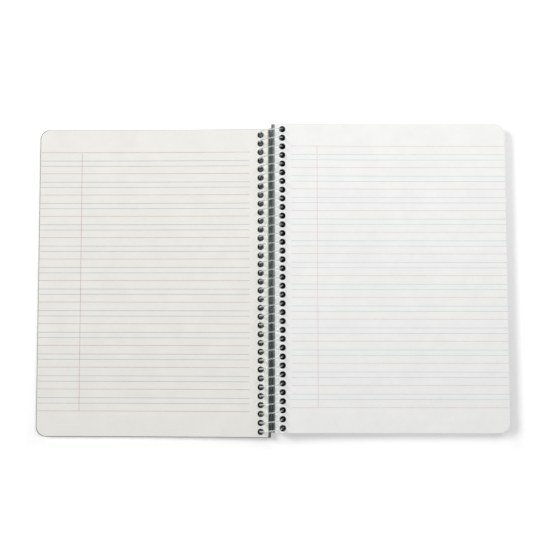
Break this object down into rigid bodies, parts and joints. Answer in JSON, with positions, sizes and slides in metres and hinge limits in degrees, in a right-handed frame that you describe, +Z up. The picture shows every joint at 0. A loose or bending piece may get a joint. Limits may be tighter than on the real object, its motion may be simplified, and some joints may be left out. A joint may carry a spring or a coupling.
{
  "type": "open spiral notebook",
  "caption": "Spiral notebook lying open: two ruled leaf stacks between card covers, threaded on a round plastic coil they turn about.",
  "frame": {"origin": "on the table, under the middle of the coil", "axes": "+X to the right across the open pages, +Y up the page along the coil, +Z up from the table"},
  "size_m": [0.428, 0.2864, 0.0221],
  "materials": {
    "cover_card": "matt coated card",
    "left_paper": "uncoated writing paper",
    "right_paper": "uncoated writing paper",
    "red_ink": "pale red printed lines",
    "blue_ink": "pale blue-grey printed lines",
    "coil_plastic": "clear plastic wire"
  },
  "bodies": {
    "back_half": {"back_cover": "cover_card", "right_pages": "right_paper", "right_red_rules": "red_ink", "right_blue_rules": "blue_ink"},
    "front_half": {"front_cover": "cover_card", "left_pages": "left_paper", "left_red_rules": "red_ink", "left_blue_rules": "blue_ink"},
    "coil": {"spiral_coil": "coil_plastic"}
  },
  "joints": [
    {"name": "front_cover_turn", "type": "hinge", "parent": "back_half", "child": "front_half", "pos_m": [0, 0, 0.01105], "axis": [0, 1, 0], "range_deg": [0, 182.1]},
    {"name": "coil_float", "type": "slide", "parent": "back_half", "child": "coil", "axis": [0, 1, 0], "range_m": [-0.0021, 0.0001]}
  ],
  "couplings": [
    {"joint": "coil_float", "follows": "front_cover_turn", "m_per_rad": -0.00063185}
  ]
}
